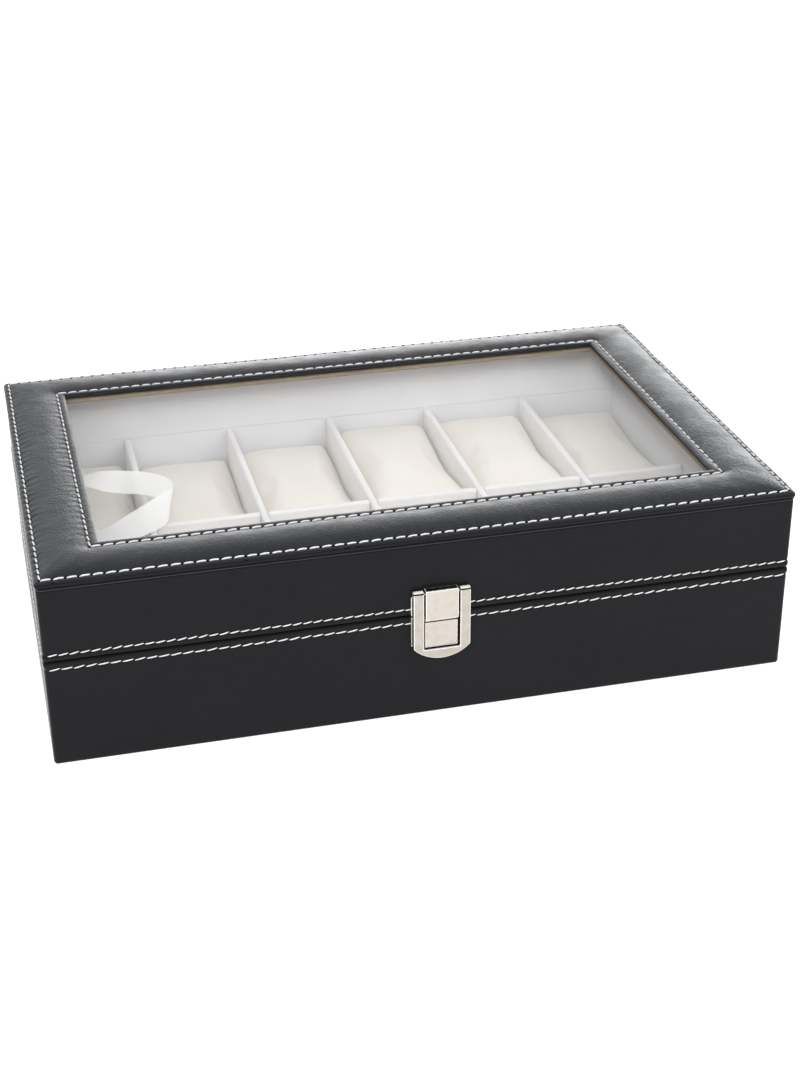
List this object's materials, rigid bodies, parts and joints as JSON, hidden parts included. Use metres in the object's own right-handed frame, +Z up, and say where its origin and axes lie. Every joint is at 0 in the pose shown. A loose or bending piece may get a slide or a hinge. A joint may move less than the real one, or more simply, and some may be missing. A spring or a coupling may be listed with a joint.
{
  "type": "watch box",
  "caption": "Rectangular leather-covered watch box with a hinged glass-window lid, padded stitched top frame, front flap latch and pillow-lined compartments.",
  "frame": {"origin": "middle of the underside, on the surface the box stands on", "axes": "+X to the right along the length, +Y to the back (hinge side), +Z up"},
  "size_m": [0.3, 0.2065, 0.0808],
  "materials": {
    "wall_leather": "smooth semi-matt black imitation leather",
    "padded_leather": "soft black imitation leather with fine grain and white stitching",
    "fibreboard": "raw fibreboard",
    "lining_velvet": "pale grey short-pile velvet",
    "pillow_velvet": "cream short-pile velvet",
    "underside_paper": "matt black paper",
    "glass": "clear float glass",
    "foam": "soft foam",
    "ribbon": "white satin ribbon",
    "latch_nickel": "satin pale nickel plate",
    "hinge_steel": "nickel-plated steel"
  },
  "bodies": {
    "base": {"base_back_board": "fibreboard", "base_back_lining": "lining_velvet", "base_bottom_board": "fibreboard", "base_front_board": "fibreboard", "base_front_lining": "lining_velvet", "base_leather_wrap": "wall_leather", "base_left_board": "fibreboard", "base_left_lining": "lining_velvet", "base_right_board": "fibreboard", "base_right_lining": "lining_velvet", "bottom_cover": "underside_paper", "cross_divider_1": "lining_velvet", "cross_divider_2": "lining_velvet", "cross_divider_3": "lining_velvet", "cross_divider_4": "lining_velvet", "cross_divider_5": "lining_velvet", "floor_lining": "lining_velvet", "hinge_base_screws": "hinge_steel", "latch_catch": "latch_nickel", "latch_catch_nails": "latch_nickel", "left_hinge_base_leaf": "hinge_steel", "left_hinge_pin": "hinge_steel", "ribbon_stay": "ribbon", "right_hinge_base_leaf": "hinge_steel", "right_hinge_pin": "hinge_steel", "row_divider": "lining_velvet"},
    "lid": {"frame_padding": "foam", "glass_pane": "glass", "glass_retainer": "lining_velvet", "hinge_lid_screws": "hinge_steel", "latch_pin": "latch_nickel", "latch_plate": "latch_nickel", "latch_plate_nails": "latch_nickel", "left_hinge_lid_leaf": "hinge_steel", "lid_back_board": "fibreboard", "lid_back_lining": "lining_velvet", "lid_front_board": "fibreboard", "lid_front_lining": "lining_velvet", "lid_leather_wrap": "wall_leather", "lid_left_board": "fibreboard", "lid_left_lining": "lining_velvet", "lid_right_board": "fibreboard", "lid_right_lining": "lining_velvet", "padded_frame_cover": "padded_leather", "right_hinge_lid_leaf": "hinge_steel", "top_board_frame": "fibreboard"},
    "latch_flap": {"latch_flap": "latch_nickel"},
    "pillow_back_1": {"pillow_back_1": "pillow_velvet"},
    "pillow_back_2": {"pillow_back_2": "pillow_velvet"},
    "pillow_back_3": {"pillow_back_3": "pillow_velvet"},
    "pillow_back_4": {"pillow_back_4": "pillow_velvet"},
    "pillow_back_5": {"pillow_back_5": "pillow_velvet"},
    "pillow_back_6": {"pillow_back_6": "pillow_velvet"},
    "pillow_front_1": {"pillow_front_1": "pillow_velvet"},
    "pillow_front_2": {"pillow_front_2": "pillow_velvet"},
    "pillow_front_3": {"pillow_front_3": "pillow_velvet"},
    "pillow_front_4": {"pillow_front_4": "pillow_velvet"},
    "pillow_front_5": {"pillow_front_5": "pillow_velvet"},
    "pillow_front_6": {"pillow_front_6": "pillow_velvet"}
  },
  "joints": [
    {"name": "lid_hinge", "type": "hinge", "parent": "base", "child": "lid", "pos_m": [0, 0.1018, 0.0452], "axis": [-1, 0, 0], "range_deg": [0, 100], "deforming": ["ribbon_stay"]},
    {"name": "latch_flap_hinge", "type": "hinge", "parent": "lid", "child": "latch_flap", "pos_m": [0.0032, -0.10145, 0.0553], "axis": [-1, 0, 0], "range_deg": [0, 110]},
    {"name": "pillow_back_1_lift", "type": "slide", "parent": "base", "child": "pillow_back_1", "axis": [0, 0, 1], "range_m": [0, 0.026]},
    {"name": "pillow_back_2_lift", "type": "slide", "parent": "base", "child": "pillow_back_2", "axis": [0, 0, 1], "range_m": [0, 0.026]},
    {"name": "pillow_back_3_lift", "type": "slide", "parent": "base", "child": "pillow_back_3", "axis": [0, 0, 1], "range_m": [0, 0.026]},
    {"name": "pillow_back_4_lift", "type": "slide", "parent": "base", "child": "pillow_back_4", "axis": [0, 0, 1], "range_m": [0, 0.026]},
    {"name": "pillow_back_5_lift", "type": "slide", "parent": "base", "child": "pillow_back_5", "axis": [0, 0, 1], "range_m": [0, 0.026]},
    {"name": "pillow_back_6_lift", "type": "slide", "parent": "base", "child": "pillow_back_6", "axis": [0, 0, 1], "range_m": [0, 0.026]},
    {"name": "pillow_front_1_lift", "type": "slide", "parent": "base", "child": "pillow_front_1", "axis": [0, 0, 1], "range_m": [0, 0.026]},
    {"name": "pillow_front_2_lift", "type": "slide", "parent": "base", "child": "pillow_front_2", "axis": [0, 0, 1], "range_m": [0, 0.026]},
    {"name": "pillow_front_3_lift", "type": "slide", "parent": "base", "child": "pillow_front_3", "axis": [0, 0, 1], "range_m": [0, 0.026]},
    {"name": "pillow_front_4_lift", "type": "slide", "parent": "base", "child": "pillow_front_4", "axis": [0, 0, 1], "range_m": [0, 0.026]},
    {"name": "pillow_front_5_lift", "type": "slide", "parent": "base", "child": "pillow_front_5", "axis": [0, 0, 1], "range_m": [0, 0.026]},
    {"name": "pillow_front_6_lift", "type": "slide", "parent": "base", "child": "pillow_front_6", "axis": [0, 0, 1], "range_m": [0, 0.026]}
  ]
}
